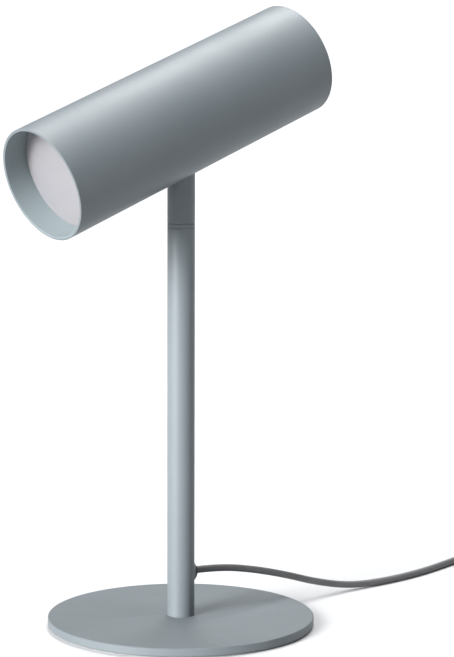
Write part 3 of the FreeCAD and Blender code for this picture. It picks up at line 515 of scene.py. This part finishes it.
def zinc_steel():
    """Bright zinc plate: turned lines, a faint bluish-yellow bloom and dull patches."""
    s = Shader("zinc_steel")
    bloom = s.blend(s.spread(s.noise(120, 3), 0, 1), (0.56, 0.58, 0.6), (0.66, 0.64, 0.58))
    s.colour(s.blend(s.edges(), bloom, (0.75, 0.75, 0.74)))
    s.roughness(s.spread(s.noise(260, 4, 0.6), 0.24, 0.42))
    s.bumps((s.rings(900), 0.08, 0.0001), (s.noise(1100, 2), 0.06, 0.0002))
    s.constants(Metallic=1.0)
    return s


def bearing_nylon():
    s = Shader("bearing_nylon")
    s.colour(s.blend(s.spread(s.noise(140, 3), 0, 1), (0.68, 0.66, 0.6), (0.76, 0.74, 0.68)))
    s.roughness(s.spread(s.noise(500), 0.38, 0.52))
    s.bumps((s.rings(700), 0.04, 0.0001), (s.noise(800), 0.04, 0.0002))
    s.constants(Subsurface_Weight=0.2, Subsurface_Radius=(0.002, 0.0018, 0.0014))
    return s


def cast_aluminium():
    """The grey skin of a die casting, with flow marks and a pebbled surface."""
    s = Shader("cast_aluminium")
    flow = s.noise(60, 5, 0.65, s.stretched((1, 0.3, 1)))
    s.colour(s.blend(s.spread(flow, 0, 1), (0.42, 0.43, 0.44), (0.56, 0.57, 0.58)))
    s.roughness(s.spread(s.noise(700, 3), 0.38, 0.55))
    s.bumps((s.noise(900, 3), 0.2, 0.0002), (s.cells(420), 0.05, 0.0003))
    s.constants(Metallic=1.0)
    return s


def cord_sheath():
    """Matt PVC: a soft bloom where it has been handled, fine grain and slight waviness."""
    s = Shader("cord_sheath")
    bloom = s.spread(s.noise(55, 4, 0.6), 0, 1)
    s.colour(s.blend(bloom, CORD_DARK, CORD_LIGHT))
    s.roughness(s.spread(s.noise(800, 3), 0.4, 0.56))
    s.bumps((s.noise(1700, 2), 0.16, 0.00012), (s.noise(180, 2), 0.08, 0.0004))
    s.constants(Sheen_Weight=0.08, Sheen_Roughness=0.5)
    return s


def tie_fabric():
    """Hook-and-loop strap: a plain weave with a raised nap."""
    s = Shader("tie_fabric")
    weave = s.combined("MULTIPLY", s.bands(900, "X"), s.bands(900, "Z"))
    s.colour(s.blend(s.spread(weave, 0, 1, 0, 1), (0.02, 0.02, 0.022), (0.06, 0.06, 0.064)))
    s.roughness(s.spread(s.noise(900, 3), 0.8, 0.98))
    s.bumps((weave, 0.5, 0.0003), (s.noise(2200, 3), 0.4, 0.0003))
    s.constants(Sheen_Weight=0.5, Sheen_Roughness=0.5)
    return s


def dark_plastic():
    """Spark-eroded moulding texture, rubbed lighter and smoother on its edges."""
    s = Shader("dark_plastic")
    tone = s.blend(s.spread(s.noise(90, 3), 0, 1), (0.03, 0.03, 0.032), (0.042, 0.042, 0.045))
    s.colour(s.blend(s.edges(), tone, (0.075, 0.075, 0.08)))
    s.roughness(s.spread(s.noise(1100, 3), 0.44, 0.62))
    s.bumps((s.noise(1500, 3), 0.22, 0.0002), (s.cells(900), 0.08, 0.0002))
    return s


def contact_brass():
    s = Shader("contact_brass")
    s.colour(s.blend(s.spread(s.noise(150, 4), 0, 1), (0.6, 0.43, 0.17), (0.74, 0.57, 0.26)))
    s.roughness(s.spread(s.noise(400, 3), 0.25, 0.42))
    s.bumps((s.noise(60, 2, 0.5, s.stretched((20, 1, 1))), 0.06, 0.0002))
    s.constants(Metallic=1.0)
    return s


def nickel_plated_brass():
    """Bright nickel with fine scratches along the pins from being pushed into sockets."""
    s = Shader("nickel_plated_brass")
    scratches = s.noise(900, 4, 0.6, s.stretched((1, 0.03, 1)))
    s.colour(s.blend(s.spread(s.noise(200, 3), 0, 1), (0.63, 0.62, 0.58), (0.74, 0.72, 0.67)))
    s.roughness(s.spread(scratches, 0.16, 0.34))
    s.bumps((scratches, 0.12, 0.0001))
    s.constants(Metallic=1.0)
    return s


def circuit_board():
    s = Shader("circuit_board")
    s.colour(s.blend(s.spread(s.cells(160), 0, 1, 0.1, 0.3), (0.74, 0.75, 0.74), (0.82, 0.83, 0.82)))
    s.roughness(s.spread(s.noise(500), 0.3, 0.45))
    s.bumps((s.noise(400, 2), 0.08, 0.0002))
    return s


def led_phosphor():
    s = Shader("led_phosphor")
    s.colour(s.blend(s.spread(s.noise(2500, 3), 0, 1), (0.75, 0.55, 0.06), (0.85, 0.68, 0.14)))
    s.roughness(s.spread(s.noise(900), 0.12, 0.25))
    s.bumps((s.noise(1500), 0.05, 0.0001))
    s.constants(Coat_Weight=0.6, Coat_Roughness=0.1)
    return s


def white_plastic():
    s = Shader("white_plastic")
    s.colour(s.blend(s.spread(s.noise(70, 3), 0, 1), (0.72, 0.72, 0.71), (0.78, 0.78, 0.77)))
    s.roughness(s.spread(s.noise(900, 2), 0.4, 0.55))
    s.bumps((s.noise(1400, 2), 0.1, 0.0002))
    return s


def opal_diffuser():
    """Satin opal acrylic: milky depth, a frosted face and faint clouds from moulding."""
    s = Shader("opal_diffuser")
    s.colour(s.blend(s.spread(s.noise(28, 2), 0, 1), DIFFUSER_COOL, DIFFUSER_WARM))
    s.roughness(s.spread(s.noise(1200, 3), 0.42, 0.56))
    s.bumps((s.noise(1900, 2), 0.1, 0.00015))
    s.constants(Subsurface_Weight=0.5, Subsurface_Radius=(0.004, 0.004, 0.005))
    return s


def lead_insulation():
    s = Shader("lead_insulation")
    s.colour(s.blend(s.spread(s.noise(150, 2), 0, 1), (0.32, 0.02, 0.018), (0.42, 0.035, 0.03)))
    s.roughness(s.spread(s.noise(700), 0.3, 0.45))
    s.bumps((s.noise(900), 0.06, 0.0002))
    return s


MAKERS = [
    painted_steel, painted_aluminium, painted_screw_steel, pad_foam_rubber, grommet_rubber, zinc_steel,
    bearing_nylon, cast_aluminium, cord_sheath, tie_fabric, dark_plastic, contact_brass,
    nickel_plated_brass, circuit_board, led_phosphor, white_plastic, opal_diffuser, lead_insulation,
]
materials = {maker.__name__: maker().material for maker in MAKERS}

for part in frame["record"]["subparts"]:
    mesh = nodes[part["node"]].data
    mesh.materials.clear()
    mesh.materials.append(materials[part["material_slot"]])
for piece in (cord_lamp, cord_plug):
    piece.data.materials.append(materials["cord_sheath"])
for piece in (switch_relief_in, switch_relief_out, plug_relief):
    piece.data.materials.append(materials["dark_plastic"])
tie.data.materials.append(materials["tie_fabric"])

# ---- stage and light ----------------------------------------------------------------------

FLOOR_HALF = 30.0
FLOOR_DARK = (0.45, 0.455, 0.465)
FLOOR_LIGHT = (0.465, 0.47, 0.48)

# height from -1, straight down, to 1, straight up, and how bright the surroundings are there
SURROUNDINGS = [(-1, 0.3), (-0.04, 1.1), (0.0, 1.1), (0.06, 0.6), (0.12, 0.36), (0.5, 0.13), (1, 0.13)]

# name, heading from +X, height and apparent width in degrees, and strength
SUNS = [
    ("table_level_front", -90, 5, 25, 6.2),
    ("key", -81, 20, 16, 2.9),
    ("key_high", -83, 31, 30, 3.2),
    ("overhead", 115, 67, 25, 1.8),
    ("overhead_back", 141, 55, 25, 1.6),
    ("overhead_left", 51, 65, 30, 0.8),
]


def make_floor():
    """A sheet of studio paper, much wider than the lamp."""
    half = FLOOR_HALF
    corners = [(-half, -half, 0), (half, -half, 0), (half, half, 0), (-half, half, 0)]
    mesh = bpy.data.meshes.new("floor")
    mesh.from_pydata(corners, [], [(0, 1, 2, 3)])
    floor = add_object("floor", mesh)
    s = Shader("floor_paper")
    s.colour(s.blend(s.spread(s.noise(3, 3), 0, 1), FLOOR_DARK, FLOOR_LIGHT))
    s.roughness(s.spread(s.noise(90, 3), 0.85, 0.95))
    mesh.materials.append(s.material)


def make_world():
    """Plain grey light from all round that changes with height."""
    world = bpy.data.worlds.new("studio")
    bpy.context.scene.world = world
    world.use_nodes = True
    tree = world.node_tree
    place = tree.nodes.new("ShaderNodeTexCoord")
    split = tree.nodes.new("ShaderNodeSeparateXYZ")
    tree.links.new(place.outputs["Generated"], split.inputs["Vector"])
    rise = tree.nodes.new("ShaderNodeMapRange")
    rise.inputs["From Min"].default_value = -1
    tree.links.new(split.outputs["Z"], rise.inputs["Value"])
    ramp = tree.nodes.new("ShaderNodeValToRGB")
    tree.links.new(rise.outputs["Result"], ramp.inputs["Fac"])
    ramp.color_ramp.interpolation = "EASE"
    stops = ramp.color_ramp.elements
    stops.remove(stops[1])
    for k, (height, brightness) in enumerate(SURROUNDINGS):
        stop = stops[0] if k == 0 else stops.new((height + 1) / 2)
        stop.position = (height + 1) / 2
        stop.color = (brightness, brightness, brightness, 1)
    background = tree.nodes["Background"]
    tree.links.new(ramp.outputs["Color"], background.inputs["Color"])


def make_sun(name, heading, height, width, strength):
    """A soft distant lamp: where it stands, as a heading from +X and a height, and how wide it looks."""
    data = bpy.data.lights.new(name, "SUN")
    data.energy = strength
    data.angle = math.radians(width)
    lamp = add_object(name, data)
    across = math.cos(math.radians(height))
    towards = Vector((
        across * math.cos(math.radians(heading)),
        across * math.sin(math.radians(heading)),
        math.sin(math.radians(height)),
    ))
    lamp.rotation_euler = towards.to_track_quat("Z", "Y").to_euler()


make_floor()
make_world()
for sun in SUNS:
    make_sun(*sun)

bpy.context.scene.view_settings.view_transform = "Standard"
bpy.context.view_layer.update()
